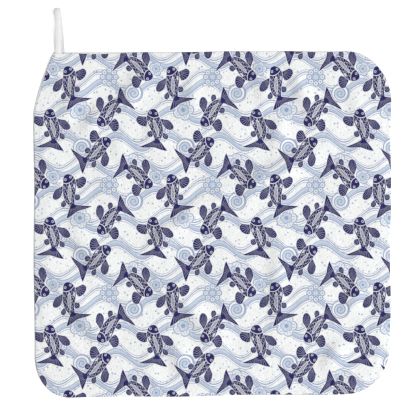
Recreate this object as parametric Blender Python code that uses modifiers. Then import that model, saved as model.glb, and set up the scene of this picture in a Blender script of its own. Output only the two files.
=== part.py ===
"""A square hand towel with round corners and a hanging loop at one corner, lying face up.

Metres, +Z up. The origin is the middle of the cloth's underside, on the surface that it lies on.
+Y runs from the cloth's middle to the side that carries the loop, and +Z is its printed face.
"""

import math
from collections import namedtuple

import bmesh
import bpy
from mathutils import Vector

# The cloth, with its turned hem
CLOTH_WIDTH = 0.3043
CLOTH_HEIGHT = 0.2940
CLOTH_THICKNESS = 0.0030
HEM_THICKNESS_SHARE = 0.84
HEM_REACH = 0.012
HEM_ROUNDING = 0.0008
CELLS_X = 54
CELLS_Y = 46

# The cloth lies a little out of square: each side leans by this much over its length, and waves.
Side = namedtuple("Side", "lean wave waves")
LEFT_SIDE = Side(lean=-0.0010, wave=0.00035, waves=2.3)
RIGHT_SIDE = Side(lean=0.0014, wave=0.00045, waves=3.1)
LOWER_SIDE = Side(lean=0.0034, wave=0.00040, waves=2.7)
UPPER_SIDE = Side(lean=0.0021, wave=0.00025, waves=2.2)

# A corner's curve reaches this far along X and along Y. Power 2 is round, and 1 would be a straight cut.
# The loop draws its own corner in. Further inside the cloth the corners fade out at this power.
CORNER_FADE = 4
Corner = namedtuple("Corner", "side_x side_y reach_x reach_y power")
CORNERS = (
    Corner(side_x=1, side_y=1, reach_x=0.039, reach_y=0.046, power=2.0),
    Corner(side_x=-1, side_y=1, reach_x=0.0169, reach_y=0.052, power=1.2),
    Corner(side_x=-1, side_y=-1, reach_x=0.032, reach_y=0.037, power=2.1),
    Corner(side_x=1, side_y=-1, reach_x=0.038, reach_y=0.039, power=2.0),
)

# Soft folds that lift the cloth off the surface. Each runs from start to end and bows to its left.
Fold = namedtuple("Fold", "start end bow half_width height")
FOLDS = (
    Fold(start=(0.008, 0.010), end=(0.104, 0.069), bow=0.004, half_width=0.017, height=0.0030),
    Fold(start=(-0.063, -0.030), end=(-0.004, 0.015), bow=0.002, half_width=0.014, height=0.0020),
    Fold(start=(-0.086, -0.109), end=(-0.136, -0.043), bow=-0.003, half_width=0.016, height=0.0032),
    Fold(start=(0.006, -0.113), end=(-0.063, -0.049), bow=-0.013, half_width=0.015, height=0.0028),
    Fold(start=(-0.068, -0.051), end=(-0.122, 0.002), bow=0.005, half_width=0.014, height=0.0024),
    Fold(start=(-0.085, -0.004), end=(-0.128, 0.022), bow=0.002, half_width=0.012, height=0.0018),
    Fold(start=(-0.129, 0.088), end=(-0.104, 0.122), bow=0.002, half_width=0.012, height=0.0021),
    Fold(start=(-0.115, 0.072), end=(-0.089, 0.103), bow=-0.002, half_width=0.012, height=0.0022),
    Fold(start=(-0.077, 0.091), end=(-0.052, 0.137), bow=0.003, half_width=0.013, height=0.0022),
    Fold(start=(0.047, 0.095), end=(0.038, 0.138), bow=-0.002, half_width=0.012, height=0.0019),
    Fold(start=(0.058, 0.053), end=(0.059, 0.099), bow=0.002, half_width=0.012, height=0.0019),
    Fold(start=(0.092, 0.071), end=(0.063, 0.141), bow=-0.002, half_width=0.012, height=0.0022),
    Fold(start=(0.137, 0.075), end=(0.118, 0.117), bow=0.002, half_width=0.012, height=0.0017),
    Fold(start=(0.058, -0.099), end=(0.060, -0.004), bow=0.003, half_width=0.013, height=0.0022),
    Fold(start=(0.094, -0.132), end=(0.119, -0.096), bow=0.003, half_width=0.012, height=0.0023),
    Fold(start=(0.113, -0.082), end=(0.127, -0.043), bow=-0.002, half_width=0.012, height=0.0019),
    Fold(start=(-0.021, -0.132), end=(-0.030, -0.096), bow=0.002, half_width=0.012, height=0.0020),
    Fold(start=(-0.012, 0.088), end=(-0.017, 0.133), bow=0.002, half_width=0.012, height=0.0017),
    Fold(start=(-0.050, 0.060), end=(-0.051, 0.099), bow=-0.002, half_width=0.012, height=0.0015),
    Fold(start=(-0.071, 0.043), end=(-0.082, 0.082), bow=0.002, half_width=0.012, height=0.0015),
)
FOLD_TAPER = 0.38

# The loop: one length of woven tape, folded over on itself and held in the seam of the upper side.
TAPE_WIDTH = 0.0052
TAPE_THICKNESS = 0.0010
TAPE_ROUNDING = 0.0002
TAPE_STEPS_PER_STATION = 4
LOOP_ROOT_X = -0.1300
LOOP_LEAN = -0.0017
LOOP_BOW = 0.0004
LOOP_SPLAY = 0.0034
LOOP_GAP = 0.0003

# The middle of the tape's thickness: how far it has run out from the seam, its height, and
# its share of the splay, from the leg that lies on the surface to the leg above it.
Station = namedtuple("Station", "out height splay")
LOOP_STATIONS = (
    Station(out=0.0000, height=0.00085, splay=0.50),
    Station(out=0.0060, height=0.00062, splay=0.42),
    Station(out=0.0140, height=0.00055, splay=0.30),
    Station(out=0.0235, height=0.00056, splay=0.16),
    Station(out=0.0312, height=0.00092, splay=0.06),
    Station(out=0.0359, height=0.00260, splay=0.01),
    Station(out=0.0370, height=0.00530, splay=0.00),
    Station(out=0.0352, height=0.00790, splay=-0.02),
    Station(out=0.0307, height=0.00930, splay=-0.08),
    Station(out=0.0235, height=0.00900, splay=-0.18),
    Station(out=0.0140, height=0.00620, splay=-0.32),
    Station(out=0.0060, height=0.00350, splay=-0.43),
    Station(out=0.0000, height=0.00215, splay=-0.50),
)

PRINTED_CLOTH_COLOUR = (0.46, 0.48, 0.57, 1.0)
TAPE_COLOUR = (0.86, 0.86, 0.85, 1.0)


def smooth_step(share):
    """0 below 0, 1 above 1, and an even S between them."""
    share = min(max(share, 0.0), 1.0)
    return share * share * (3.0 - 2.0 * share)


def fabric(name, colour, roughness):
    """A matte Principled material."""
    material = bpy.data.materials.new(name)
    material.use_nodes = True
    shader = material.node_tree.nodes["Principled BSDF"]
    shader.inputs["Base Color"].default_value = colour
    shader.inputs["Roughness"].default_value = roughness
    shader.inputs["Metallic"].default_value = 0.0
    return material


def rounded(x, y, corner):
    """A point of the squared edge, drawn in to the corner's curve where that reaches it."""
    start_x = CLOTH_WIDTH / 2 - corner.reach_x
    start_y = CLOTH_HEIGHT / 2 - corner.reach_y
    into_x = (corner.side_x * x - start_x) / corner.reach_x
    into_y = (corner.side_y * y - start_y) / corner.reach_y
    if into_x <= 0 or into_y <= 0:
        return x, y
    draw_in = (into_x**corner.power + into_y**corner.power) ** (-1 / corner.power)
    out_x = start_x + corner.reach_x * into_x * draw_in
    out_y = start_y + corner.reach_y * into_y * draw_in
    return corner.side_x * out_x, corner.side_y * out_y


def side_shift(side, along):
    """How far a side stands out at a place along it, from -1 to 1."""
    return side.lean * along / 2 + side.wave * math.sin(side.waves * math.pi * along)


def as_it_lies(x, y):
    """A point of the squared cloth, moved with the sides as they lean and wave."""
    along_x = x / (CLOTH_WIDTH / 2)
    along_y = y / (CLOTH_HEIGHT / 2)
    to_right = (1 + along_x) / 2
    to_upper = (1 + along_y) / 2
    shift_x = to_right * side_shift(RIGHT_SIDE, along_y) + (1 - to_right) * side_shift(LEFT_SIDE, along_y)
    shift_y = to_upper * side_shift(UPPER_SIDE, along_x) + (1 - to_upper) * side_shift(LOWER_SIDE, along_x)
    return x + shift_x, y + shift_y


def place(share_x, share_y):
    """Where the cloth's point lies whose shares of the half width and half height are these."""
    square_x = share_x * CLOTH_WIDTH / 2
    square_y = share_y * CLOTH_HEIGHT / 2
    ring = max(abs(share_x), abs(share_y))
    if ring == 0.0:
        return as_it_lies(square_x, square_y)
    edge_x, edge_y = square_x / ring, square_y / ring
    round_x, round_y = edge_x, edge_y
    for corner in CORNERS:
        if corner.side_x * share_x > 0 and corner.side_y * share_y > 0:
            round_x, round_y = rounded(edge_x, edge_y, corner)
    drawn = ring**CORNER_FADE
    return as_it_lies(square_x + drawn * (round_x - edge_x), square_y + drawn * (round_y - edge_y))


def fold_height(fold, x, y):
    """How far one fold lifts the cloth at a point."""
    start, end, point = Vector(fold.start), Vector(fold.end), Vector((x, y))
    run = end - start
    along = (point - start).dot(run) / run.length_squared
    if not 0.0 < along < 1.0:
        return 0.0
    left = Vector((-run.y, run.x)).normalized()
    across = (point - start).dot(left) - fold.bow * math.sin(math.pi * along)
    if abs(across) >= fold.half_width:
        return 0.0
    crown = math.cos(math.pi / 2 * across / fold.half_width) ** 2
    taper = smooth_step(along / FOLD_TAPER) * smooth_step((1.0 - along) / FOLD_TAPER)
    return fold.height * crown * taper


def lift(x, y):
    """The underside's height: 0 where the cloth lies flat. Folds that meet run softly together."""
    return math.hypot(*(fold_height(fold, x, y) for fold in FOLDS))


def bevel(thing, width, segments):
    """Rounds the thing's square edges."""
    modifier = thing.modifiers.new("Rounding", "BEVEL")
    modifier.width = width
    modifier.segments = segments
    modifier.limit_method = "ANGLE"
    modifier.angle_limit = math.radians(50)


def thicken(thing, thickness, offset):
    """Gives the thing's open surface its thickness."""
    modifier = thing.modifiers.new("Thickness", "SOLIDIFY")
    modifier.thickness = thickness
    modifier.offset = offset
    modifier.use_even_offset = True
    return modifier


def grid(name, cells_x, cells_y):
    """A flat grid as an object. Its points lie from -1 to 1 along X and along Y."""
    flat = bmesh.new()
    bmesh.ops.create_grid(flat, x_segments=cells_x, y_segments=cells_y, size=1.0)
    mesh = bpy.data.meshes.new(name)
    flat.to_mesh(mesh)
    flat.free()
    return bpy.data.objects.new(name, mesh)


def make_cloth():
    """The cloth: its underside lies on the surface and over the folds, and it is thick upwards."""
    cloth = grid("cloth", CELLS_X, CELLS_Y)
    plush = cloth.vertex_groups.new(name="plush")
    for vertex in cloth.data.vertices:
        share_x, share_y, _ = vertex.co
        x, y = place(share_x, share_y)
        vertex.co = (x, y, lift(x, y))
        from_edge = min((1 - abs(share_x)) * CLOTH_WIDTH, (1 - abs(share_y)) * CLOTH_HEIGHT) / 2
        plush.add([vertex.index], smooth_step(from_edge / HEM_REACH), "REPLACE")
    depth = thicken(cloth, CLOTH_THICKNESS, offset=1.0)
    depth.vertex_group = plush.name
    depth.thickness_vertex_group = HEM_THICKNESS_SHARE
    bevel(cloth, HEM_ROUNDING, segments=2)
    cloth.data.materials.append(fabric("printed_cloth", PRINTED_CLOTH_COLOUR, roughness=0.9))
    return cloth


def between(before, first, second, after, share):
    """A point of the smooth curve through first and second, by the Catmull-Rom rule."""
    slope_in = (second - before) / 2
    slope_out = (after - first) / 2
    gap = second - first
    square = 3 * gap - 2 * slope_in - slope_out
    cube = slope_in + slope_out - 2 * gap
    return first + share * (slope_in + share * (square + share * cube))


def tape_line():
    """The middle line of the tape from its lower end round to its upper end."""
    seam_y = place(LOOP_ROOT_X / (CLOTH_WIDTH / 2), 1.0)[1] + LOOP_GAP
    length = max(station.out for station in LOOP_STATIONS)
    points = []
    for station in LOOP_STATIONS:
        x = LOOP_ROOT_X + LOOP_LEAN * station.out / length + LOOP_SPLAY * station.splay
        x += LOOP_BOW * math.sin(math.pi * station.out / length)
        points.append(Vector((x, seam_y + station.out, station.height)))
    before_first = 2 * points[0] - points[1]
    after_last = 2 * points[-1] - points[-2]
    points = [before_first, *points, after_last]
    line = []
    for i in range(1, len(points) - 2):
        for step in range(TAPE_STEPS_PER_STATION):
            line.append(between(*points[i - 1 : i + 3], step / TAPE_STEPS_PER_STATION))
    line.append(points[-2])
    return line


def make_loop():
    """The hanging loop: a flat tape bent over, so that its two legs leave an eye for a hook."""
    line = tape_line()
    spans = len(line) - 1
    loop = grid("hanging_loop", 1, spans)
    for vertex in loop.data.vertices:
        share_x, share_y, _ = vertex.co
        middle = line[round((share_y + 1) / 2 * spans)]
        vertex.co = middle + Vector((share_x * TAPE_WIDTH / 2, 0.0, 0.0))
    thicken(loop, TAPE_THICKNESS, offset=0.0)
    bevel(loop, TAPE_ROUNDING, segments=1)
    loop.data.materials.append(fabric("loop_tape", TAPE_COLOUR, roughness=0.6))
    return loop


def main():
    for thing in list(bpy.data.objects):
        bpy.data.objects.remove(thing)
    towel = bpy.data.collections.new("hand_towel")
    bpy.context.scene.collection.children.link(towel)
    for piece in (make_cloth(), make_loop()):
        towel.objects.link(piece)
        piece.data.shade_smooth()


main()
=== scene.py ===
"""The looks of a square printed hand towel with round corners and a hanging loop, lying face up.

Metres, +Z up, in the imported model's frame. The origin is the middle of the cloth's underside, on the
surface that it lies on. +Y runs to the side that carries the loop, and +Z is the printed face.
"""

import math
from collections import namedtuple

import bmesh
import bpy
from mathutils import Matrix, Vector
from mathutils.noise import noise as uneven


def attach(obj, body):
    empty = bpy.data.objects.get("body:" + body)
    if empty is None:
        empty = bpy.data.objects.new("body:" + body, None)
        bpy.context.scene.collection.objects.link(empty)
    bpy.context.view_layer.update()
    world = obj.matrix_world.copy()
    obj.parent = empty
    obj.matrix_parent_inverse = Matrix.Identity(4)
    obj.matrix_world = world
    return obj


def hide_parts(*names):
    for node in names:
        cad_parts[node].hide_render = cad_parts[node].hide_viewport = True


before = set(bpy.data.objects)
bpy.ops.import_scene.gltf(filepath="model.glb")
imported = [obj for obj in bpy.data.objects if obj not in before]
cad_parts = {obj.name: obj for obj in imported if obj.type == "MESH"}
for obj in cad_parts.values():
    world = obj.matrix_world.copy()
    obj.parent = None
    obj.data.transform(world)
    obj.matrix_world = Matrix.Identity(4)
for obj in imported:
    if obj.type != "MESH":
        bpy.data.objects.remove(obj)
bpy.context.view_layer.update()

MM_IN_METRE = 1000.0

# The cloth's sizes as the imported model has them.
CLOTH_WIDTH = 0.3043
CLOTH_HEIGHT = 0.2940
CLOTH_THICKNESS = 0.0030
HEM_THICKNESS_SHARE = 0.84
HEM_REACH = 0.012

# The hem's softer edge, and the low ridge where its turned-in edge shows through
HEM_ROUNDING = 0.0019
HEM_LINE_AT = 0.0076
HEM_LINE_HALF_WIDTH = 0.0028
HEM_LINE_HEIGHT = 0.00020

# Each side of the cloth leans by this much over its length, and waves
Side = namedtuple("Side", "lean wave waves")
LEFT_SIDE = Side(lean=-0.0010, wave=0.00035, waves=2.3)
RIGHT_SIDE = Side(lean=0.0014, wave=0.00045, waves=3.1)
LOWER_SIDE = Side(lean=0.0034, wave=0.00040, waves=2.7)
UPPER_SIDE = Side(lean=0.0021, wave=0.00025, waves=2.2)

# How far each corner's curve reaches, and its power, where 2 is round. The loop draws its corner in.
CORNER_FADE = 4
Corner = namedtuple("Corner", "side_x side_y reach_x reach_y power")
CORNERS = (
    Corner(side_x=1, side_y=1, reach_x=0.039, reach_y=0.046, power=2.0),
    Corner(side_x=-1, side_y=1, reach_x=0.0169, reach_y=0.052, power=1.2),
    Corner(side_x=-1, side_y=-1, reach_x=0.032, reach_y=0.037, power=2.1),
    Corner(side_x=1, side_y=-1, reach_x=0.038, reach_y=0.039, power=2.0),
)

# The soft folds that lift the cloth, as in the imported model. Each bows to its left.
Fold = namedtuple("Fold", "start end bow half_width height")
FOLDS = (
    Fold(start=(0.008, 0.010), end=(0.104, 0.069), bow=0.004, half_width=0.017, height=0.0030),
    Fold(start=(-0.063, -0.030), end=(-0.004, 0.015), bow=0.002, half_width=0.014, height=0.0020),
    Fold(start=(-0.086, -0.109), end=(-0.136, -0.043), bow=-0.003, half_width=0.016, height=0.0032),
    Fold(start=(0.006, -0.113), end=(-0.063, -0.049), bow=-0.013, half_width=0.015, height=0.0028),
    Fold(start=(-0.068, -0.051), end=(-0.122, 0.002), bow=0.005, half_width=0.014, height=0.0024),
    Fold(start=(-0.085, -0.004), end=(-0.128, 0.022), bow=0.002, half_width=0.012, height=0.0018),
    Fold(start=(-0.129, 0.088), end=(-0.104, 0.122), bow=0.002, half_width=0.012, height=0.0021),
    Fold(start=(-0.115, 0.072), end=(-0.089, 0.103), bow=-0.002, half_width=0.012, height=0.0022),
    Fold(start=(-0.077, 0.091), end=(-0.052, 0.137), bow=0.003, half_width=0.013, height=0.0022),
    Fold(start=(0.047, 0.095), end=(0.038, 0.138), bow=-0.002, half_width=0.012, height=0.0019),
    Fold(start=(0.058, 0.053), end=(0.059, 0.099), bow=0.002, half_width=0.012, height=0.0019),
    Fold(start=(0.092, 0.071), end=(0.063, 0.141), bow=-0.002, half_width=0.012, height=0.0022),
    Fold(start=(0.137, 0.075), end=(0.118, 0.117), bow=0.002, half_width=0.012, height=0.0017),
    Fold(start=(0.058, -0.099), end=(0.060, -0.004), bow=0.003, half_width=0.013, height=0.0022),
    Fold(start=(0.094, -0.132), end=(0.119, -0.096), bow=0.003, half_width=0.012, height=0.0023),
    Fold(start=(0.113, -0.082), end=(0.127, -0.043), bow=-0.002, half_width=0.012, height=0.0019),
    Fold(start=(-0.021, -0.132), end=(-0.030, -0.096), bow=0.002, half_width=0.012, height=0.0020),
    Fold(start=(-0.012, 0.088), end=(-0.017, 0.133), bow=0.002, half_width=0.012, height=0.0017),
    Fold(start=(-0.050, 0.060), end=(-0.051, 0.099), bow=-0.002, half_width=0.012, height=0.0015),
    Fold(start=(-0.071, 0.043), end=(-0.082, 0.082), bow=0.002, half_width=0.012, height=0.0015),
)
FOLD_TAPER = 0.38

# Fine creases in the printed face, where it steps down to the left of the line from start to end
CREASES = (
    Fold(start=(-0.138, 0.086), end=(-0.102, 0.134), bow=0.001, half_width=0.020, height=0.00039),
    Fold(start=(-0.130, 0.069), end=(-0.087, 0.116), bow=-0.001, half_width=0.020, height=0.00040),
    Fold(start=(-0.093, 0.083), end=(-0.052, 0.152), bow=0.002, half_width=0.023, height=0.00040),
    Fold(start=(-0.057, 0.058), end=(-0.056, 0.103), bow=-0.001, half_width=0.023, height=0.00028),
    Fold(start=(-0.024, 0.082), end=(-0.022, 0.139), bow=0.001, half_width=0.023, height=0.00026),
    Fold(start=(-0.084, 0.042), end=(-0.094, 0.082), bow=0.002, half_width=0.023, height=0.00020),
    Fold(start=(0.040, 0.090), end=(0.031, 0.146), bow=-0.002, half_width=0.023, height=0.00039),
    Fold(start=(0.044, 0.048), end=(0.053, 0.105), bow=0.001, half_width=0.023, height=0.00030),
    Fold(start=(0.094, 0.052), end=(0.049, 0.162), bow=-0.002, half_width=0.020, height=0.00043),
    Fold(start=(0.131, 0.065), end=(0.106, 0.127), bow=0.001, half_width=0.023, height=0.00028),
    Fold(start=(-0.066, -0.026), end=(-0.031, 0.006), bow=0.001, half_width=0.023, height=0.00061),
    Fold(start=(-0.040, -0.002), end=(-0.003, 0.027), bow=0.001, half_width=0.018, height=0.00082),
    Fold(start=(-0.006, 0.019), end=(0.026, 0.044), bow=0.001, half_width=0.018, height=0.00078),
    Fold(start=(0.009, 0.010), end=(0.038, 0.038), bow=-0.001, half_width=0.020, height=0.00082),
    Fold(start=(0.025, 0.037), end=(0.069, 0.055), bow=0.001, half_width=0.023, height=0.00082),
    Fold(start=(0.067, 0.053), end=(0.104, 0.079), bow=0.001, half_width=0.023, height=0.00078),
    Fold(start=(-0.081, -0.014), end=(-0.140, 0.022), bow=0.001, half_width=0.020, height=0.00076),
    Fold(start=(-0.097, -0.047), end=(-0.130, -0.001), bow=0.001, half_width=0.020, height=0.00082),
    Fold(start=(-0.064, -0.064), end=(-0.111, -0.032), bow=0.001, half_width=0.023, height=0.00057),
    Fold(start=(-0.006, -0.081), end=(-0.082, -0.049), bow=-0.002, half_width=0.020, height=0.00076),
    Fold(start=(0.004, -0.124), end=(-0.029, -0.061), bow=-0.002, half_width=0.023, height=0.00097),
    Fold(start=(-0.084, -0.115), end=(-0.123, -0.075), bow=0.001, half_width=0.023, height=0.00087),
    Fold(start=(-0.117, -0.088), end=(-0.141, -0.042), bow=0.001, half_width=0.020, height=0.00082),
    Fold(start=(-0.028, -0.139), end=(-0.041, -0.093), bow=0.001, half_width=0.020, height=0.00087),
    Fold(start=(0.050, -0.117), end=(0.050, 0.013), bow=0.002, half_width=0.023, height=0.00032),
    Fold(start=(0.079, -0.134), end=(0.118, -0.086), bow=0.002, half_width=0.023, height=0.00049),
    Fold(start=(0.101, -0.085), end=(0.122, -0.037), bow=-0.001, half_width=0.023, height=0.00035),
    Fold(start=(0.032, -0.129), end=(0.029, -0.081), bow=0.001, half_width=0.023, height=0.00023),
    Fold(start=(-0.138, 0.016), end=(-0.137, 0.061), bow=0.002, half_width=0.020, height=0.00026),
    Fold(start=(-0.095, -0.134), end=(-0.113, -0.103), bow=0.001, half_width=0.020, height=0.00044),
    Fold(start=(0.015, -0.139), end=(0.006, -0.103), bow=0.001, half_width=0.020, height=0.00023),
    Fold(start=(-0.008, -0.033), end=(0.001, -0.001), bow=0.001, half_width=0.018, height=0.00034),
    Fold(start=(0.069, -0.013), end=(0.082, 0.023), bow=0.001, half_width=0.020, height=0.00018),
    Fold(start=(0.096, -0.005), end=(0.116, 0.028), bow=0.001, half_width=0.020, height=0.00016),
    Fold(start=(-0.083, 0.016), end=(-0.070, 0.050), bow=0.001, half_width=0.020, height=0.00018),
    Fold(start=(0.017, 0.056), end=(0.020, 0.094), bow=0.001, half_width=0.020, height=0.00018),
    Fold(start=(0.131, -0.009), end=(0.134, 0.031), bow=0.001, half_width=0.020, height=0.00018),
    Fold(start=(0.069, -0.099), end=(0.077, -0.054), bow=0.001, half_width=0.020, height=0.00016),
)
CREASE_TAPER = 0.24

# The underside follows the creases by this share, but only where a fold lifts it clear of the surface
CREASE_ON_UNDERSIDE = 0.6
CLEAR_OF_SURFACE = 0.0008

# The tape's section from its right edge to the middle of its upper side, as shares of its half
# width and half thickness. Its edges curl up by the cup.
TAPE_CUP = 0.0003
TAPE_STEPS_PER_STATION = 10
TAPE_SECTION = (
    (1.0, 0.0),
    (0.97, 0.62),
    (0.90, 0.86),
    (0.80, 0.80),
    (0.62, 0.82),
    (0.32, 0.95),
    (0.0, 1.0),
)

# The loop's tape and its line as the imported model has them, and how far each end runs into the seam
TAPE_WIDTH = 0.0052
TAPE_THICKNESS = 0.0010
LOOP_ROOT_X = -0.1300
LOOP_LEAN = -0.0017
LOOP_BOW = 0.0004
LOOP_SPLAY = 0.0034
LOOP_GAP = 0.0003
LOOP_IN_SEAM = 0.0022

# The middle of the tape: how far out from the seam, its height, and its share of the splay
Station = namedtuple("Station", "out height splay")
LOOP_STATIONS = (
    Station(out=0.0000, height=0.00085, splay=0.50),
    Station(out=0.0060, height=0.00062, splay=0.42),
    Station(out=0.0140, height=0.00055, splay=0.30),
    Station(out=0.0235, height=0.00056, splay=0.16),
    Station(out=0.0312, height=0.00092, splay=0.06),
    Station(out=0.0359, height=0.00260, splay=0.01),
    Station(out=0.0370, height=0.00530, splay=0.00),
    Station(out=0.0352, height=0.00790, splay=-0.02),
    Station(out=0.0307, height=0.00930, splay=-0.08),
    Station(out=0.0235, height=0.00900, splay=-0.18),
    Station(out=0.0140, height=0.00620, splay=-0.32),
    Station(out=0.0060, height=0.00350, splay=-0.43),
    Station(out=0.0000, height=0.00215, splay=-0.50),
)

# The cloth's own unevenness between the folds: swells that are this long along X and along Y
Swell = namedtuple("Swell", "long_x long_y seed height")
SWELLS = (
    Swell(long_x=0.026, long_y=0.040, seed=3.0, height=0.00110),
    Swell(long_x=0.012, long_y=0.015, seed=8.0, height=0.00036),
)

# Distances in from the edge of the cloth's outer rows of points, and the pitch of the others
HEM_ROWS = (0.0, 0.00010, 0.00035, 0.00075, 0.00125, 0.0019, 0.0028, 0.0041, 0.0058)
CELL = 0.0019

# Where the plain back rolls over the edge, it shows beside the printed face by this much at most
Roll = namedtuple("Roll", "at reach width")
ROLLS = (
    Roll(at=(-0.098, 0.146), reach=0.042, width=0.0017),
    Roll(at=(0.095, 0.148), reach=0.040, width=0.0009),
    Roll(at=(0.136, 0.126), reach=0.030, width=0.0010),
    Roll(at=(-0.145, 0.112), reach=0.042, width=0.0013),
    Roll(at=(0.060, -0.146), reach=0.060, width=0.0006),
)
LEAST_ROLL = 0.0002

# The seam's groove beside the print: its half width in millimetres, and the shares of its painted shade
# and depth
SEAM_GROOVE = 0.10
SEAM_PAINTED_SHADE_SHARE = 0.6
SEAM_DEPTH = 0.5

# The print, in millimetres. Its tile repeats along X and Y, and the inks' edges are this soft.
TILE_X = 88.0
TILE_Y = 92.0
INK_EDGE = 0.22

# A line along a form's edge: how far inside the edge its middle lies, and its half width
Rim = namedtuple("Rim", "inset half_width")

# Each fish's place as shares of the tile, and how it is turned, in degrees, and mirrored
Place = namedtuple("Place", "x y turn flip")
FISH = (
    Place(x=0.04, y=0.06, turn=34, flip=1),
    Place(x=0.24, y=0.46, turn=158, flip=-1),
    Place(x=0.44, y=0.86, turn=262, flip=1),
    Place(x=0.64, y=0.26, turn=-64, flip=-1),
    Place(x=0.84, y=0.66, turn=205, flip=1),
)

# A fish from its nose to its tail's root. Its middle line sways from side to side.
NOSE = 18.5
BODY_LENGTH = 27.0
BODY_FULLNESS = 13.5
BODY_TAPER = 0.86
SWAY = 3.4
SWAY_TURN = 2 * math.pi / 44.0
SWAY_PHASE = 0.7
BODY_RIM = Rim(inset=0.2, half_width=0.45)
HALO = 0.5
SCALE_LENGTH = 2.1
SCALE_WIDTH = 2.4
SCALE_ARCH = 0.9
SCALE_LINE = 0.15
SCALES_FROM = 8.0
GILL_AT = 7.6
GILL_BEND = 0.08
GILL_LINE = 0.26
EYE_ALONG = 3.7
EYE_ASIDE = 2.4
EYE_RING = 1.0
EYE = 0.62

# The body's dark blotches: where two waves along and aside add up to more than the least
Wave = namedtuple("Wave", "along aside start height")
BLOTCHES = (
    Wave(along=0.40, aside=0.16, start=0.4, height=1.0),
    Wave(along=0.12, aside=0.55, start=0.0, height=0.5),
)
LEAST_BLOTCH = -1.20
BLOTCH_EDGE = 0.20

# The back fin, a leaf along the middle with slanting bars
BACK_FIN_AT = 16.0
BACK_FIN_LENGTH = 6.8
BACK_FIN_WIDTH = 1.2
BACK_FIN_RIM = 0.35
BACK_FIN_BAR = 0.3
BACK_FIN_BARS = 0.95
BACK_FIN_SLANT = 0.5

# The forked tail, with light rays that fan out from its root
TAIL_AT = 24.5
TAIL_SPREAD = 0.86
TAIL_LENGTH = 8.0
TAIL_FORK = 6.4
TAIL_RAYS = 6.5
TAIL_RAYS_FROM = 4.5
TAIL_RIM = Rim(inset=0.35, half_width=0.40)

# A pair of fins: its root along and aside, its lean, half opening, length, hollow and rays
Fin = namedtuple("Fin", "along aside lean opening length hollow rays")
FINS = (
    Fin(along=7.6, aside=4.0, lean=0.98, opening=0.56, length=11.6, hollow=11.1, rays=6.0),
    Fin(along=18.0, aside=2.9, lean=0.74, opening=0.44, length=7.8, hollow=12.1, rays=5.0),
)
FIN_RIM = Rim(inset=0.32, half_width=0.36)
FIN_GAP = 0.35
FIN_RAYS_FROM = 3.6
FIN_RAYS_START = 0.25
RAY = 0.04

# Ribbons of water across the tile: the height of the wave, half the ribbon's thickness and its swell
Ribbon = namedtuple("Ribbon", "base wave phase thick swell")
RIBBONS = (
    Ribbon(base=3.0, wave=5.4, phase=0.4, thick=4.2, swell=1.6),
    Ribbon(base=26.0, wave=6.2, phase=2.5, thick=4.4, swell=1.8),
    Ribbon(base=49.0, wave=5.2, phase=4.3, thick=4.0, swell=1.5),
    Ribbon(base=72.0, wave=6.0, phase=1.0, thick=4.3, swell=1.7),
)
WAVES_IN_TILE = 2
SWELL_START = 1.3
CREST_SWAY = 1.2
UPPER_LINE = 0.50
LOWER_LINE = 0.45
CREST_LINE = 0.30
UPPER_RIM = Rim(inset=1.9, half_width=0.26)
LOWER_RIM = Rim(inset=1.5, half_width=0.22)
OUTER_RIM = Rim(inset=-1.9, half_width=0.24)
RIBBON_LINES_REACH = 0.6

# Round motifs, at a place in the tile and again half a tile on both ways
Motif = namedtuple("Motif", "kind x y size")
MOTIFS = (
    Motif(kind="curl", x=21.0, y=19.0, size=7.4),
    Motif(kind="blossom", x=63.0, y=5.0, size=9.0),
    Motif(kind="foam", x=0.0, y=33.0, size=5.6),
    Motif(kind="blossom", x=40.0, y=40.0, size=6.0),
)

# A blossom's two rings of petals, its veins and its heart, as shares of its size, and its lines
PETALS = 5
OUTER_PETAL_FOOT = 0.66
OUTER_PETAL = 0.34
INNER_PETAL_FOOT = 0.36
INNER_PETAL = 0.20
VEINS_AT = 0.70
VEINS_REACH = 0.13
VEIN_ASIDE = 0.12
BLOSSOM_HEART = 0.2
BLOSSOM_TINT = 0.35
BLOSSOM_HALO = 0.5
OUTER_PETAL_LINE = 0.42
INNER_PETAL_LINE = 0.34
VEIN = 0.22

# A curl's spiral, the ring round it, and the share of its size that is tinted
CURL_PITCH = 2.6
CURL_LINE = 0.42
CURL_RING = 0.45
CURL_TINT_REACH = 0.62

# Bubbles round a larger one, whose radius is this share of the ring's
BUBBLES = 8
BUBBLE_OVERLAP = 1.02
BUBBLE_LINE = 0.40
BUBBLE_HEART = 0.3
BUBBLE_TINT = 0.4
BUBBLE_HALO = 0.4
LARGE_BUBBLE = 0.48
LARGE_BUBBLE_LINE = 0.36

# Dots in a grid of this pitch, each moved and sized by sines of its place in the grid
PEARL_PITCH = 5.25
PEARL_SCATTER = 1.6
PEARL_RADIUS = 0.55
PEARL_RADIUS_SWING = 0.28
PEARL_SEED_X = 2.65
PEARL_SEED_Y = 4.39
PEARL_SEED_ASIDE = 1.7
PEARL_SEED_RADIUS = 2.3
PEARL_INK = 0.8
TINT_STRENGTH = 0.9

# The inks and the cloth as a screen shows them, from 0 to 255. The darker part of each is this share.
CLOTH_COLOUR = (228, 229, 229)
CLOTH_DARKER = 0.94
DARK_INK = (31, 28, 88)
LINE_INK = (135, 149, 177)
TINT_INK = (176, 188, 204)
# The seam's colour is painted shade laid into its groove
SEAM_PAINTED_SHADE = (172, 172, 176)
TAPE_COLOUR = (236, 236, 236)
# The tape's darker part is the colour that its painted shade mixes towards
TAPE_DARKER = 0.84

# Noise with this many features in each metre
Grain = namedtuple("Grain", "scale detail")
PILE = Grain(scale=900.0, detail=3.0)
LIE_OF_PILE = Grain(scale=260.0, detail=2.0)
BLEED = Grain(scale=1500.0, detail=1.0)
LINT = Grain(scale=1400.0, detail=3.0)
LIE_SHARE = 0.9
LINT_SHARE = 0.5
BLEED_REACH = 0.2

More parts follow.
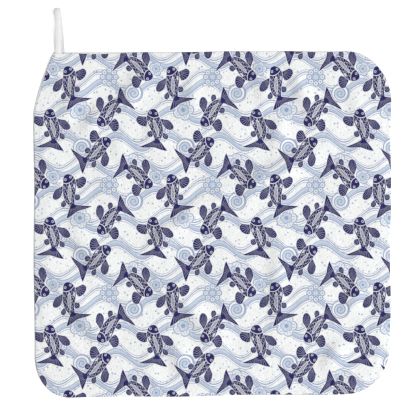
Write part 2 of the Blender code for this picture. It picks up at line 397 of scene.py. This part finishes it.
# Shares that rise or fall with a height, as its factor and an offset
Ramp = namedtuple("Ramp", "factor offset")
PILE_SHADE = Ramp(factor=3.0, offset=-1.0)
INK_ON_PILE = Ramp(factor=-0.5, offset=1.27)
SHADE_BETWEEN_YARNS = Ramp(factor=-0.50, offset=0.85)

# How a surface takes light, and how deep its bump is
Finish = namedtuple("Finish", "roughness specular sheen sheen_roughness depth")
CLOTH_FINISH = Finish(roughness=0.92, specular=0.2, sheen=0.06, sheen_roughness=0.5, depth=0.0005)
TAPE_FINISH = Finish(roughness=0.78, specular=0.35, sheen=0.1, sheen_roughness=0.4, depth=0.00018)

# The tape's twill: its ribs' pitch and slant, its yarns' pitch, and where the selvedges begin. Painted
# shade darkens the selvedges.
TWILL_PITCH = 0.0011
TWILL_SLANT = 0.8
YARN_PITCH = 0.00052
SELVEDGE_FROM = 0.0015
SELVEDGE_FADE = 0.0009
SELVEDGE_PAINTED_SHADE = 0.85

# The weave's height from 0 to 1: between the selvedges, the ribs and yarns, and on them, a firmer level
RIB_HEIGHT = 0.7
YARN_HEIGHT = 0.25
SELVEDGE_RIB_HEIGHT = 0.2
SELVEDGE_LEVEL = 0.7

# The leg of the loop that lies under the other gets painted shade, as if in the upper leg's shadow, up
# to this length along the tape
LOWER_LEG = 0.036
LEG_FADE = 0.006
LOWER_LEG_PAINTED_SHADE = 0.70

# The baked picture of the cloth: its size in metres, and the share of its height that the back takes
PICTURE_WIDTH = 0.310
PICTURE_HEIGHT = 0.301
BACK_SHARE = 0.12

# The camera looks down on its target, where the picture is as wide as the frame
CAMERA_TARGET = (-0.00383, 0.01342, 0.003)
CAMERA_DISTANCE = 2.0
FRAME_WIDTH = 0.3544
SENSOR = 36.0

# The light, from the right and a little below in the view, and the pale surroundings
KEY_AT = (3.2, -0.65, 5.5)
KEY_SIZE = 6.5
KEY_POWER = 600.0
SURROUNDINGS = 0.22
WHITE = (1.0, 1.0, 1.0, 1.0)
FLOOR_HALF = 4.0
FLOOR_DEPTH = 0.0002
FLOOR_COLOUR = (0.94, 0.94, 0.94, 1.0)
FLOOR_ROUGHNESS = 0.9
FLOOR_GLOW = 0.32


def smooth_step(share):
    """0 below 0, 1 above 1, and an even S between them."""
    share = min(max(share, 0.0), 1.0)
    return share * share * (3.0 - 2.0 * share)


def rounded(x, y, corner):
    """A point of the squared edge, drawn in to the corner's curve where that reaches it."""
    start_x = CLOTH_WIDTH / 2 - corner.reach_x
    start_y = CLOTH_HEIGHT / 2 - corner.reach_y
    into_x = (corner.side_x * x - start_x) / corner.reach_x
    into_y = (corner.side_y * y - start_y) / corner.reach_y
    if into_x <= 0 or into_y <= 0:
        return x, y
    draw_in = (into_x**corner.power + into_y**corner.power) ** (-1 / corner.power)
    out_x = start_x + corner.reach_x * into_x * draw_in
    out_y = start_y + corner.reach_y * into_y * draw_in
    return corner.side_x * out_x, corner.side_y * out_y


def side_shift(side, along):
    """How far a side stands out at a place along it, from -1 to 1."""
    return side.lean * along / 2 + side.wave * math.sin(side.waves * math.pi * along)


def as_it_lies(x, y):
    """A point of the squared cloth, moved with the sides as they lean and wave."""
    along_x = x / (CLOTH_WIDTH / 2)
    along_y = y / (CLOTH_HEIGHT / 2)
    to_right = (1 + along_x) / 2
    to_upper = (1 + along_y) / 2
    right, left = side_shift(RIGHT_SIDE, along_y), side_shift(LEFT_SIDE, along_y)
    upper, lower = side_shift(UPPER_SIDE, along_x), side_shift(LOWER_SIDE, along_x)
    shift_x = to_right * right + (1 - to_right) * left
    shift_y = to_upper * upper + (1 - to_upper) * lower
    return x + shift_x, y + shift_y


def cloth_point(share_x, share_y):
    """Where the cloth's point lies whose shares of the half width and half height are these."""
    square_x = share_x * CLOTH_WIDTH / 2
    square_y = share_y * CLOTH_HEIGHT / 2
    ring = max(abs(share_x), abs(share_y))
    if ring == 0.0:
        return as_it_lies(square_x, square_y)
    edge_x, edge_y = square_x / ring, square_y / ring
    round_x, round_y = edge_x, edge_y
    for corner in CORNERS:
        if corner.side_x * share_x > 0 and corner.side_y * share_y > 0:
            round_x, round_y = rounded(edge_x, edge_y, corner)
    drawn = ring**CORNER_FADE
    return as_it_lies(square_x + drawn * (round_x - edge_x), square_y + drawn * (round_y - edge_y))


def fold_section(fold, x, y, taper):
    """The shares of a fold's half width, from -1 to 1, and of its height at a point near it."""
    run_x, run_y = fold.end[0] - fold.start[0], fold.end[1] - fold.start[1]
    from_x, from_y = x - fold.start[0], y - fold.start[1]
    length = math.hypot(run_x, run_y)
    along = (from_x * run_x + from_y * run_y) / length**2
    if not 0.0 < along < 1.0:
        return 0.0, 0.0
    across = (from_y * run_x - from_x * run_y) / length - fold.bow * math.sin(math.pi * along)
    if abs(across) >= fold.half_width:
        return 0.0, 0.0
    share = across / fold.half_width
    crown = math.cos(math.pi / 2 * share) ** 2
    ends = smooth_step(along / taper) * smooth_step((1.0 - along) / taper)
    return share, crown * ends


def fold_height(fold, x, y):
    """How far one fold lifts the cloth at a point."""
    return fold.height * fold_section(fold, x, y, FOLD_TAPER)[1]


def step_height(fold, x, y):
    """How far one crease lifts the face on its right, and lets it sink on its left."""
    share, crown = fold_section(fold, x, y, CREASE_TAPER)
    return fold.height * crown * -math.sin(math.pi * share)


def lift(x, y):
    """The underside's height over the folds. Folds that meet run softly together."""
    return math.hypot(*(fold_height(fold, x, y) for fold in FOLDS))


def crease(x, y):
    """The height that the fine creases and swells add to the printed face."""
    height = sum(step_height(fold, x, y) for fold in CREASES)
    for swell in SWELLS:
        height += swell.height * uneven(Vector((x / swell.long_x, y / swell.long_y, swell.seed)))
    return height


def roll(x, y):
    """How far in from the edge the seam lies, on the printed side."""
    width = LEAST_ROLL
    for one in ROLLS:
        far = math.hypot(x - one.at[0], y - one.at[1])
        width += one.width * smooth_step(1.0 - far / one.reach)
    return width


def shares(half):
    """The grid's lines from -1 to 1 across a cloth of this half size: close at the hem, then even."""
    inner = half - HEM_ROWS[-1]
    cells = 2 * round(inner / CELL)
    middle = [inner * (2 * i / cells - 1) for i in range(cells + 1)]
    outer = [half - d for d in HEM_ROWS[:-1]]
    lines = [-d for d in outer] + middle + outer[::-1]
    return [line / half for line in lines]


def distance_to_edge(share_x, share_y):
    """How far in from the nearest side a point of the squared cloth is."""
    return min((1 - abs(share_x)) * CLOTH_WIDTH, (1 - abs(share_y)) * CLOTH_HEIGHT) / 2


def edge_profile(from_edge):
    """The share of the cloth's half thickness at a distance from the edge, a round hem."""
    into = min(from_edge / HEM_ROUNDING, 1.0)
    return math.sqrt(max(0.0, 1.0 - (1.0 - into) ** 2))


def hem_line(from_edge):
    """How far the hem's turned-in edge shows through as a low ridge."""
    off = min(abs(from_edge - HEM_LINE_AT) / HEM_LINE_HALF_WIDTH, 1.0)
    return HEM_LINE_HEIGHT * math.cos(math.pi / 2 * off) ** 2


def heights(from_edge, x, y):
    """The heights of the underside and of the printed face at a point of the cloth."""
    plush = smooth_step(from_edge / HEM_REACH)
    thickness = CLOTH_THICKNESS * (HEM_THICKNESS_SHARE + (1 - HEM_THICKNESS_SHARE) * plush)
    fine = crease(x, y) * plush + hem_line(from_edge)
    under = lift(x, y)
    over = under + thickness + fine
    under += max(fine, 0.0) * CREASE_ON_UNDERSIDE * smooth_step(under / CLEAR_OF_SURFACE)
    middle = (under + over) / 2
    half = (over - under) / 2 * edge_profile(from_edge)
    return middle - half, middle + half


def add_object(name, body):
    """Puts a finished mesh into the scene as an object."""
    mesh = bpy.data.meshes.new(name)
    body.to_mesh(mesh)
    body.free()
    added = bpy.data.objects.new(name, mesh)
    bpy.context.scene.collection.objects.link(added)
    return added


def lay_on_picture(face, picture, low, high):
    """Gives the face its place on the baked picture, in the band from low to high."""
    for corner in face.loops:
        x, y, _ = corner.vert.co
        across = 0.5 + x / PICTURE_WIDTH
        up = 0.5 + y / PICTURE_HEIGHT
        corner[picture].uv = (across, low + (high - low) * up)


def make_cloth():
    """The cloth: a printed face and a plain back that meet at the turned hem."""
    lines_x, lines_y = shares(CLOTH_WIDTH / 2), shares(CLOTH_HEIGHT / 2)
    body = bmesh.new()
    picture = body.loops.layers.uv.new("OFBake")
    from_seam = body.verts.layers.float.new("from_seam")
    over, under = {}, {}
    for i, share_x in enumerate(lines_x):
        for j, share_y in enumerate(lines_y):
            x, y = cloth_point(share_x, share_y)
            from_edge = distance_to_edge(share_x, share_y)
            low, high = heights(from_edge, x, y)
            over[i, j] = body.verts.new((x, y, high))
            over[i, j][from_seam] = from_edge - roll(x, y)
            on_edge = i in (0, len(lines_x) - 1) or j in (0, len(lines_y) - 1)
            under[i, j] = over[i, j] if on_edge else body.verts.new((x, y, low))
    for i in range(len(lines_x) - 1):
        for j in range(len(lines_y) - 1):
            ring = (i, j), (i + 1, j), (i + 1, j + 1), (i, j + 1)
            front = body.faces.new([over[at] for at in ring])
            front.material_index = 0
            lay_on_picture(front, picture, BACK_SHARE, 1.0)
            back = body.faces.new([under[at] for at in ring[::-1]])
            back.material_index = 1
            lay_on_picture(back, picture, 0.0, BACK_SHARE)
    cloth = add_object("towel", body)
    cloth.data.shade_smooth()
    return cloth


def between(before, first, second, after, share):
    """A point of the smooth curve through first and second, by the Catmull-Rom rule."""
    slope_in = (second - before) / 2
    slope_out = (after - first) / 2
    gap = second - first
    square = 3 * gap - 2 * slope_in - slope_out
    cube = slope_in + slope_out - 2 * gap
    return first + share * (slope_in + share * (square + share * cube))


def tape_line():
    """The middle line of the tape, from inside the seam round and back into it."""
    seam_y = cloth_point(LOOP_ROOT_X / (CLOTH_WIDTH / 2), 1.0)[1] + LOOP_GAP
    length = max(station.out for station in LOOP_STATIONS)
    points = []
    for station in LOOP_STATIONS:
        x = LOOP_ROOT_X + LOOP_LEAN * station.out / length + LOOP_SPLAY * station.splay
        x += LOOP_BOW * math.sin(math.pi * station.out / length)
        points.append(Vector((x, seam_y + station.out, station.height)))
    points = [2 * points[0] - points[1], *points, 2 * points[-1] - points[-2]]
    line = []
    for i in range(1, len(points) - 2):
        for step in range(TAPE_STEPS_PER_STATION):
            line.append(between(*points[i - 1 : i + 3], step / TAPE_STEPS_PER_STATION))
    line.append(points[-2])
    into_seam = Vector((0.0, -LOOP_IN_SEAM, 0.0))
    return [line[0] + into_seam, *line, line[-1] + into_seam]


def tape_section():
    """The tape's whole section, round from its right edge."""
    upper = [*TAPE_SECTION, *((-x, z) for x, z in TAPE_SECTION[-2::-1])]
    return upper + [(x, -z) for x, z in upper[-2:0:-1]]


def make_loop():
    """The hanging loop: one length of woven tape, folded over, its two ends in the seam."""
    line = tape_line()
    section = tape_section()
    body = bmesh.new()
    run = body.verts.layers.float.new("run")
    aside = body.verts.layers.float.new("aside")
    run_so_far = 0.0
    rings = []
    for i, middle in enumerate(line):
        if i > 0:
            run_so_far += (middle - line[i - 1]).length
        along = (line[min(i + 1, len(line) - 1)] - line[max(i - 1, 0)]).normalized()
        across = Vector((1.0, 0.0, 0.0))
        out = across.cross(along).normalized()
        ring = []
        for share_x, share_z in section:
            rise = share_z * TAPE_THICKNESS / 2 + share_x**2 * TAPE_CUP
            offset = across * share_x * TAPE_WIDTH / 2 + out * rise
            point = body.verts.new(middle + offset)
            point[run] = run_so_far
            point[aside] = share_x * TAPE_WIDTH / 2
            ring.append(point)
        rings.append(ring)
    for first, second in zip(rings, rings[1:]):
        for k in range(len(section)):
            after = (k + 1) % len(section)
            body.faces.new((first[k], first[after], second[after], second[k]))
    body.faces.new(rings[0][::-1])
    body.faces.new(rings[-1])
    bmesh.ops.recalc_face_normals(body, faces=body.faces)
    tape = add_object("loop", body)
    tape.data.shade_smooth()
    return tape


def screen(colour):
    """A colour that is given as a screen shows it, as the light that it reflects."""
    return [((part / 255 + 0.055) / 1.055) ** 2.4 for part in colour] + [1.0]


class Value:
    """A number that a material's nodes work out at each point of the surface."""

    def __init__(self, tree, socket):
        self.tree = tree
        self.socket = socket

    def step(self, operation, *others, clamp=False):
        """A Math node's result, with this number as its first input."""
        node = self.tree.nodes.new("ShaderNodeMath")
        node.operation = operation
        node.use_clamp = clamp
        for socket, number in zip(node.inputs, (self, *others)):
            if isinstance(number, Value):
                self.tree.links.new(number.socket, socket)
            else:
                socket.default_value = number
        return Value(self.tree, node.outputs[0])

    def __add__(self, other):
        return self.step("ADD", other)

    def __sub__(self, other):
        return self.step("SUBTRACT", other)

    def __rsub__(self, other):
        return self.step("MULTIPLY_ADD", -1.0, other)

    def __mul__(self, other):
        return self.step("MULTIPLY", other)

    def __truediv__(self, other):
        return self.step("DIVIDE", other)

    def __abs__(self):
        return self.step("ABSOLUTE")

    def sqrt(self):
        return self.step("SQRT")

    def sin(self):
        return self.step("SINE")

    def cos(self):
        return self.step("COSINE")

    def floor(self):
        return self.step("FLOOR")

    def fract(self):
        return self.step("FRACT")

    def wrap(self, low, high):
        """The number, brought between low and high by whole steps."""
        return self.step("WRAP", high, low)

    def below(self, limit):
        """1 where the number is under the limit, and 0 elsewhere."""
        return self.step("LESS_THAN", limit)

    def scaled(self, factor, offset):
        return self.step("MULTIPLY_ADD", factor, offset)

    def clamped(self, factor, offset):
        """Scaled, and kept from 0 to 1."""
        return self.step("MULTIPLY_ADD", factor, offset, clamp=True)


def least(a, b):
    return a.step("MINIMUM", b)


def most(a, b):
    return a.step("MAXIMUM", b)


def angle(y, x):
    return y.step("ARCTAN2", x)


def edge(distance, reach=0.0):
    """1 where the distance is under the reach and 0 beyond it, with a soft step."""
    return distance.clamped(-1 / INK_EDGE, reach / INK_EDGE + 0.5)


def stroke(distance, half_width):
    """A line where the distance is 0."""
    return edge(abs(distance), half_width)


def rim_line(off, rim):
    """A line along a form's edge, by the distance from that edge."""
    return stroke(off + rim.inset, rim.half_width)


def from_step(number):
    """How far the number is from the middle of its whole step, from -0.5 to 0.5."""
    return number.fract() - 0.5


def mix(a, b, share):
    return a + (b - a) * share


def without(ink, cover):
    """The ink, taken out where the cover is."""
    return ink * (1.0 - cover)


def polar(u, v):
    """The distance from the middle, and the angle round it."""
    return (u * u + v * v).sqrt(), angle(v, u)


def nearest_fish(x, y):
    """X and Y in the frame of the nearest fish, which swims towards its own -X."""
    best = None
    for place in FISH:
        dx = (x - place.x * TILE_X).wrap(-TILE_X / 2, TILE_X / 2)
        dy = (y - place.y * TILE_Y).wrap(-TILE_Y / 2, TILE_Y / 2)
        far = dx * dx + dy * dy
        c, s = math.cos(math.radians(place.turn)), math.sin(math.radians(place.turn))
        u = dx * c + dy * s
        v = dy * (c * place.flip) - dx * (s * place.flip)
        if best is None:
            best, near_u, near_v = far, u, v
            continue
        closer = far.below(best)
        near_u = mix(near_u, u, closer)
        near_v = mix(near_v, v, closer)
        best = least(best, far)
    return near_u, near_v


def fish_scales(along, aside):
    """Rows of arches across the body, each row half a scale aside from the one before."""
    lines = None
    for rows_on in (0.0, 1.0):
        row = along.scaled(1 / SCALE_LENGTH, -rows_on).floor()
        cell = from_step(aside * (1 / SCALE_WIDTH) + row * 0.5)
        rise = SCALE_LENGTH * SCALE_ARCH
        arch = row * SCALE_LENGTH + (cell * cell).scaled(-4 * rise, rise)
        line = stroke(along - arch, SCALE_LINE)
        lines = line if lines is None else most(lines, line)
    return lines * (1.0 - edge(along, SCALES_FROM))


def fish_blotches(along, aside):
    """1 on the body's dark blotches, and 0 on the light ground between them."""
    total = None
    for wave in BLOTCHES:
        height = (along.scaled(wave.along, wave.start) + aside * wave.aside).sin() * wave.height
        total = height if total is None else total + height
    return (total - LEAST_BLOTCH).clamped(1 / BLOTCH_EDGE, 0.5)


def fish_body(along, aside, side, off):
    """The ink of the body: scales, blotches, head and back fin. off is the distance from its edge."""
    lines = fish_scales(along, aside)
    ink = mix(lines, 1.0 - lines, fish_blotches(along, aside))
    ink = most(ink, rim_line(off, BODY_RIM))
    ink = without(ink, stroke(along - GILL_AT + side * side * GILL_BEND, GILL_LINE))
    eye, _ = polar(along - EYE_ALONG, side - EYE_ASIDE)
    ink = most(without(ink, edge(eye, EYE_RING)), edge(eye, EYE))
    fin_along = (along - BACK_FIN_AT) * (1 / BACK_FIN_LENGTH)
    leaf = side - (fin_along * fin_along).scaled(-BACK_FIN_WIDTH, BACK_FIN_WIDTH)
    bars = stroke(from_step(along * BACK_FIN_BARS - side * BACK_FIN_SLANT), BACK_FIN_BAR)
    return most(without(ink, edge(leaf, BACK_FIN_RIM)), edge(leaf) * bars) * edge(off)


def fin_rays(turn, pitch):
    """Light lines that fan out, one for each step of the turn. The pitch is the gap between them."""
    return stroke(from_step(turn) * pitch, RAY)


def fish_tail(along, side):
    """The ink of the forked tail, and the distance from its edge."""
    far, turn = polar(along - TAIL_AT, side)
    tip = (turn * turn).scaled(TAIL_FORK / TAIL_SPREAD**2, TAIL_LENGTH)
    off = most(far - tip, (turn - TAIL_SPREAD) * far)
    rays = fin_rays(turn * TAIL_RAYS, far * (1 / TAIL_RAYS)) * edge(far * -1.0, -TAIL_RAYS_FROM)
    return most(without(edge(off), rays), rim_line(off, TAIL_RIM)), off


def fish_fin(fin, along, side):
    """The ink of a fin that is swept back, and the distance from its edge."""
    far, turn = polar(along - fin.along, side - fin.aside)
    turn = turn - fin.lean
    tip = (turn * turn).scaled(-fin.hollow, fin.length)
    off = most(far - tip, (abs(turn) - fin.opening) * far)
    rays = fin_rays(turn.scaled(fin.rays, FIN_RAYS_START), far * (1 / fin.rays))
    rays = rays * edge(far * -1.0, -FIN_RAYS_FROM)
    return most(without(edge(off), rays), rim_line(off, FIN_RIM)), off


def fish(u, v):
    """The fish's ink, and the ground that it covers."""
    sway = u.scaled(SWAY_TURN, SWAY_PHASE)
    slope = sway.cos() * (SWAY * SWAY_TURN)
    along = u + NOSE
    aside = (v - sway.sin() * SWAY) / (slope * slope + 1.0).sqrt()
    side = abs(aside)
    share = along.clamped(1 / BODY_LENGTH, 0.0)
    half = share.sqrt() * share.scaled(-BODY_TAPER * BODY_FULLNESS, BODY_FULLNESS)
    outline = most(side - half, most(along - BODY_LENGTH, along * -1.0))
    ink = fish_body(along, aside, side, outline)
    more, off = fish_tail(along, side)
    ink = most(ink, more)
    outline = least(outline, off)
    for fin in FINS:
        more, off = fish_fin(fin, along, side)
        ink = most(ink, without(more, edge(outline, FIN_GAP)))
        outline = least(outline, off)
    return ink, edge(outline, HALO)


def ribbon_ink(ribbon, x, y):
    """A ribbon's lines, its tint and the ground that it covers."""
    wave = x.scaled(2 * math.pi * WAVES_IN_TILE / TILE_X, ribbon.phase)
    v = (y - ribbon.base - wave.sin() * ribbon.wave).wrap(-TILE_Y / 2, TILE_Y / 2)
    swell = (wave + SWELL_START).sin()
    half = swell.scaled(ribbon.swell, ribbon.thick)
    upper, lower = v - half, v + half
    crest = swell * CREST_SWAY + v
    line = most(stroke(upper, UPPER_LINE), stroke(lower, LOWER_LINE))
    line = most(line, rim_line(upper, UPPER_RIM))
    line = most(line, stroke(crest, CREST_LINE))
    line = most(line, rim_line(lower * -1.0, LOWER_RIM))
    off = abs(v) - half
    inside = edge(off)
    line = most(line * edge(off, RIBBON_LINES_REACH), rim_line(off, OUTER_RIM))
    return line, inside * edge(crest), inside


def blossom(far, turn, size):
    """A flower with two rings of petals: its lines, tint and cover."""
    lobes = turn * (PETALS / 2)
    outer = far - abs(lobes.cos()).sqrt().scaled(OUTER_PETAL * size, OUTER_PETAL_FOOT * size)
    inner = far - abs(lobes.sin()).sqrt().scaled(INNER_PETAL * size, INNER_PETAL_FOOT * size)
    line = most(stroke(outer, OUTER_PETAL_LINE), stroke(inner, INNER_PETAL_LINE))
    petal = turn.wrap(-math.pi / PETALS, math.pi / PETALS) * far
    veins = stroke(abs(petal) - size * VEIN_ASIDE, VEIN)
    veins = veins * stroke(far - size * VEINS_AT, size * VEINS_REACH)
    line = most(most(line, veins), edge(far, size * BLOSSOM_HEART))
    return line, most(edge(inner), edge(outer) * BLOSSOM_TINT), edge(outer, BLOSSOM_HALO)


def curl(far, turn, size):
    """A curling wave, a spiral in a ring: its lines, tint and cover."""
    spiral = from_step(far * (1 / CURL_PITCH) - turn * (1 / (2 * math.pi)))
    line = stroke(spiral * CURL_PITCH, CURL_LINE) * edge(far, size)
    line = most(line, stroke(far - size, CURL_RING))
    return line, edge(far, size * CURL_TINT_REACH), edge(far, size + CURL_RING)


def foam(far, turn, size):
    """Bubbles in a ring round a larger one: their lines, tint and cover."""
    step = 2 * math.pi / BUBBLES
    near = turn.wrap(-step / 2, step / 2)
    bubble, _ = polar(far * near.cos() - size, far * near.sin())
    radius = size * math.sin(step / 2) * BUBBLE_OVERLAP
    large = size * LARGE_BUBBLE
    line = most(stroke(bubble - radius, BUBBLE_LINE), edge(bubble, radius * BUBBLE_HEART))
    line = most(line, stroke(far - large, LARGE_BUBBLE_LINE))
    fill = most(edge(far, large), edge(bubble, radius) * BUBBLE_TINT)
    return line, fill, edge(least(bubble - radius, far - size), BUBBLE_HALO)


def motif_ink(motif, x, y):
    """A round motif's lines, tint and cover."""
    row = (y - motif.y).scaled(2 / TILE_Y, 0.5).floor()
    u = (x - motif.x - row * (TILE_X / 2)).wrap(-TILE_X / 2, TILE_X / 2)
    v = (y - motif.y).wrap(-TILE_Y / 4, TILE_Y / 4)
    draw = {"blossom": blossom, "curl": curl, "foam": foam}[motif.kind]
    return draw(*polar(u, v), motif.size)


def pearls(x, y):
    """Small scattered dots."""
    i = (x * (1 / PEARL_PITCH)).floor()
    j = (y * (1 / PEARL_PITCH)).floor()
    seed = i * PEARL_SEED_X + j * PEARL_SEED_Y
    dx = x - i * PEARL_PITCH - PEARL_PITCH / 2 - seed.sin() * PEARL_SCATTER
    dy = y - j * PEARL_PITCH - PEARL_PITCH / 2 - (seed * PEARL_SEED_ASIDE).cos() * PEARL_SCATTER
    far, _ = polar(dx, dy)
    radius = (seed * PEARL_SEED_RADIUS).sin().scaled(PEARL_RADIUS_SWING, PEARL_RADIUS)
    return edge(far - radius)


def design(x, y):
    """The print's three inks at a point in millimetres: dark, pale line and pale tint."""
    line = pearls(x, y) * PEARL_INK
    tint = None
    for ribbon in RIBBONS:
        more, fill, cover = ribbon_ink(ribbon, x, y)
        line = most(without(line, cover), more)
        tint = fill if tint is None else most(without(tint, cover), fill)
    for motif in MOTIFS:
        more, fill, cover = motif_ink(motif, x, y)
        line = most(without(line, cover), more)
        tint = mix(tint, fill, cover)
    dark, cover = fish(*nearest_fish(x, y))
    return dark, without(line, cover), without(tint, cover) * TINT_STRENGTH


def new_material(name):
    """A node material, its tree and its shader."""
    material = bpy.data.materials.new(name)
    material.use_nodes = True
    tree = material.node_tree
    return material, tree, tree.nodes["Principled BSDF"]


def object_place(tree):
    """The place on the object, in metres."""
    return tree.nodes.new("ShaderNodeTexCoord").outputs["Object"]


def attribute(tree, name):
    """A number that the mesh keeps at its points."""
    node = tree.nodes.new("ShaderNodeAttribute")
    node.attribute_name = name
    return Value(tree, node.outputs["Fac"])


def noise(tree, place, grain):
    """A Noise texture's node at a place in metres."""
    node = tree.nodes.new("ShaderNodeTexNoise")
    node.inputs["Scale"].default_value = grain.scale
    node.inputs["Detail"].default_value = grain.detail
    tree.links.new(place, node.inputs["Vector"])
    return node


def unevenness(tree, place, grain):
    """A number about 0.5 that varies over the surface."""
    return Value(tree, noise(tree, place, grain).outputs["Fac"])


def laid_over(tree, below, above, share):
    """A colour laid over another, by a share from 0 to 1."""
    node = tree.nodes.new("ShaderNodeMix")
    node.data_type = "RGBA"
    colour_a, colour_b = node.inputs[6], node.inputs[7]
    for socket, colour in ((colour_a, below), (colour_b, above)):
        if isinstance(colour, bpy.types.NodeSocket):
            tree.links.new(colour, socket)
        else:
            socket.default_value = colour
    tree.links.new(share.socket, node.inputs[0])
    return node.outputs[2]


def cloth_and_darker(colour, darker):
    """A cloth's colour and its darker part, as the light that they reflect."""
    return screen(colour), screen([darker * part for part in colour])


def finished(tree, shader, colour, height, finish):
    """Gives the shader its colour, its finish and a bump from a height from 0 to 1."""
    tree.links.new(colour, shader.inputs["Base Color"])
    shader.inputs["Roughness"].default_value = finish.roughness
    shader.inputs["Specular IOR Level"].default_value = finish.specular
    shader.inputs["Sheen Weight"].default_value = finish.sheen
    shader.inputs["Sheen Roughness"].default_value = finish.sheen_roughness
    bump = tree.nodes.new("ShaderNodeBump")
    bump.inputs["Strength"].default_value = 1.0
    bump.inputs["Distance"].default_value = finish.depth
    tree.links.new(height.socket, bump.inputs["Height"])
    tree.links.new(bump.outputs["Normal"], shader.inputs["Normal"])


def print_place(tree, place):
    """X and Y in millimetres, moved a little both ways, as ink bleeds into the pile."""
    parts = tree.nodes.new("ShaderNodeSeparateXYZ")
    tree.links.new(place, parts.inputs[0])
    bleed = tree.nodes.new("ShaderNodeSeparateColor")
    tree.links.new(noise(tree, place, BLEED).outputs["Color"], bleed.inputs[0])
    for axis in range(2):
        moved = Value(tree, bleed.outputs[axis]).scaled(BLEED_REACH, -BLEED_REACH / 2)
        yield Value(tree, parts.outputs[axis]) * MM_IN_METRE + moved


def cloth_material(name, printed):
    """White cloth with a short pile. The printed face's inks have soaked into the pile."""
    material, tree, shader = new_material(name)
    place = object_place(tree)
    pile = unevenness(tree, place, PILE)
    relief = pile + unevenness(tree, place, LIE_OF_PILE) * LIE_SHARE
    light, darker = cloth_and_darker(CLOTH_COLOUR, CLOTH_DARKER)
    colour = laid_over(tree, light, darker, pile.clamped(*PILE_SHADE))
    if printed:
        dark, line, tint = design(*print_place(tree, place))
        from_seam = attribute(tree, "from_seam") * MM_IN_METRE
        strength = pile.clamped(*INK_ON_PILE) * edge(from_seam * -1.0)
        for ink, amount in ((TINT_INK, tint), (LINE_INK, line), (DARK_INK, dark)):
            colour = laid_over(tree, colour, screen(ink), amount * strength)
        # The seam's groove: painted shade in its colour, and a real dip in the bump
        groove_with_painted_shade = stroke(from_seam, SEAM_GROOVE)
        colour = laid_over(tree, colour, screen(SEAM_PAINTED_SHADE), groove_with_painted_shade * SEAM_PAINTED_SHADE_SHARE)
        relief = relief - groove_with_painted_shade * SEAM_DEPTH
    finished(tree, shader, colour, relief, CLOTH_FINISH)
    return material


def tape_material(name):
    """White woven tape: a twill's slanting ribs between two firmer selvedges."""
    material, tree, shader = new_material(name)
    run = attribute(tree, "run")
    aside = attribute(tree, "aside")
    from_middle = abs(aside)
    rib = ((run + from_middle * TWILL_SLANT) * (2 * math.pi / TWILL_PITCH)).sin().scaled(0.5, 0.5)
    yarn = (aside * (2 * math.pi / YARN_PITCH)).sin().scaled(YARN_HEIGHT, YARN_HEIGHT)
    selvedge = from_middle.clamped(1 / SELVEDGE_FADE, -SELVEDGE_FROM / SELVEDGE_FADE)
    lint = unevenness(tree, object_place(tree), LINT)
    weave = mix(rib * RIB_HEIGHT + yarn, rib.scaled(SELVEDGE_RIB_HEIGHT, SELVEDGE_LEVEL), selvedge)
    light, darker = cloth_and_darker(TAPE_COLOUR, TAPE_DARKER)
    shade = most((weave + lint).clamped(*SHADE_BETWEEN_YARNS), selvedge * SELVEDGE_PAINTED_SHADE)
    # Painted shade on the lower leg, standing in for the upper leg's shadow
    lower_leg_painted_shade = run.clamped(-1 / LEG_FADE, LOWER_LEG / LEG_FADE) * LOWER_LEG_PAINTED_SHADE
    colour = laid_over(tree, light, darker, most(shade, lower_leg_painted_shade))
    finished(tree, shader, colour, weave + lint * LINT_SHARE, TAPE_FINISH)
    return material


def make_camera():
    """The camera above the cloth, which looks straight down."""
    camera_data = bpy.data.cameras.new("camera")
    camera_data.sensor_width = SENSOR
    camera_data.lens = SENSOR * CAMERA_DISTANCE / FRAME_WIDTH
    camera = bpy.data.objects.new("camera", camera_data)
    target = Vector(CAMERA_TARGET)
    camera.location = target + Vector((0.0, 0.0, CAMERA_DISTANCE))
    bpy.context.scene.collection.objects.link(camera)
    bpy.context.scene.camera = camera


def make_light():
    """One large soft light that looks at the origin."""
    lamp = bpy.data.lights.new("key", "AREA")
    lamp.shape = "DISK"
    lamp.size = KEY_SIZE
    lamp.energy = KEY_POWER
    light = bpy.data.objects.new("key", lamp)
    light.location = KEY_AT
    light.rotation_euler = (-Vector(KEY_AT)).to_track_quat("-Z", "Y").to_euler()
    bpy.context.scene.collection.objects.link(light)


def make_floor():
    """A plain pale floor that glows a little, so that it comes out white."""
    body = bmesh.new()
    bmesh.ops.create_grid(body, x_segments=1, y_segments=1, size=FLOOR_HALF)
    floor = add_object("floor", body)
    floor.location.z = -FLOOR_DEPTH
    paper, _, shader = new_material("floor")
    shader.inputs["Base Color"].default_value = FLOOR_COLOUR
    shader.inputs["Roughness"].default_value = FLOOR_ROUGHNESS
    shader.inputs["Emission Color"].default_value = WHITE
    shader.inputs["Emission Strength"].default_value = FLOOR_GLOW
    floor.data.materials.append(paper)


def make_world():
    """Even pale surroundings."""
    world = bpy.data.worlds.new("studio")
    world.use_nodes = True
    background = world.node_tree.nodes["Background"]
    background.inputs["Color"].default_value = WHITE
    background.inputs["Strength"].default_value = SURROUNDINGS
    bpy.context.scene.world = world
    bpy.context.scene.view_settings.view_transform = "Standard"


make_camera()
make_world()
make_floor()
make_light()

towel = make_cloth()
towel.data.materials.append(cloth_material("printed_cloth", printed=True))
towel.data.materials.append(cloth_material("plain_cloth", printed=False))
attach(towel, "root")
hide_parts("cloth")

loop = make_loop()
loop.data.materials.append(tape_material("loop_tape"))
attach(loop, "root")
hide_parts("hanging_loop")
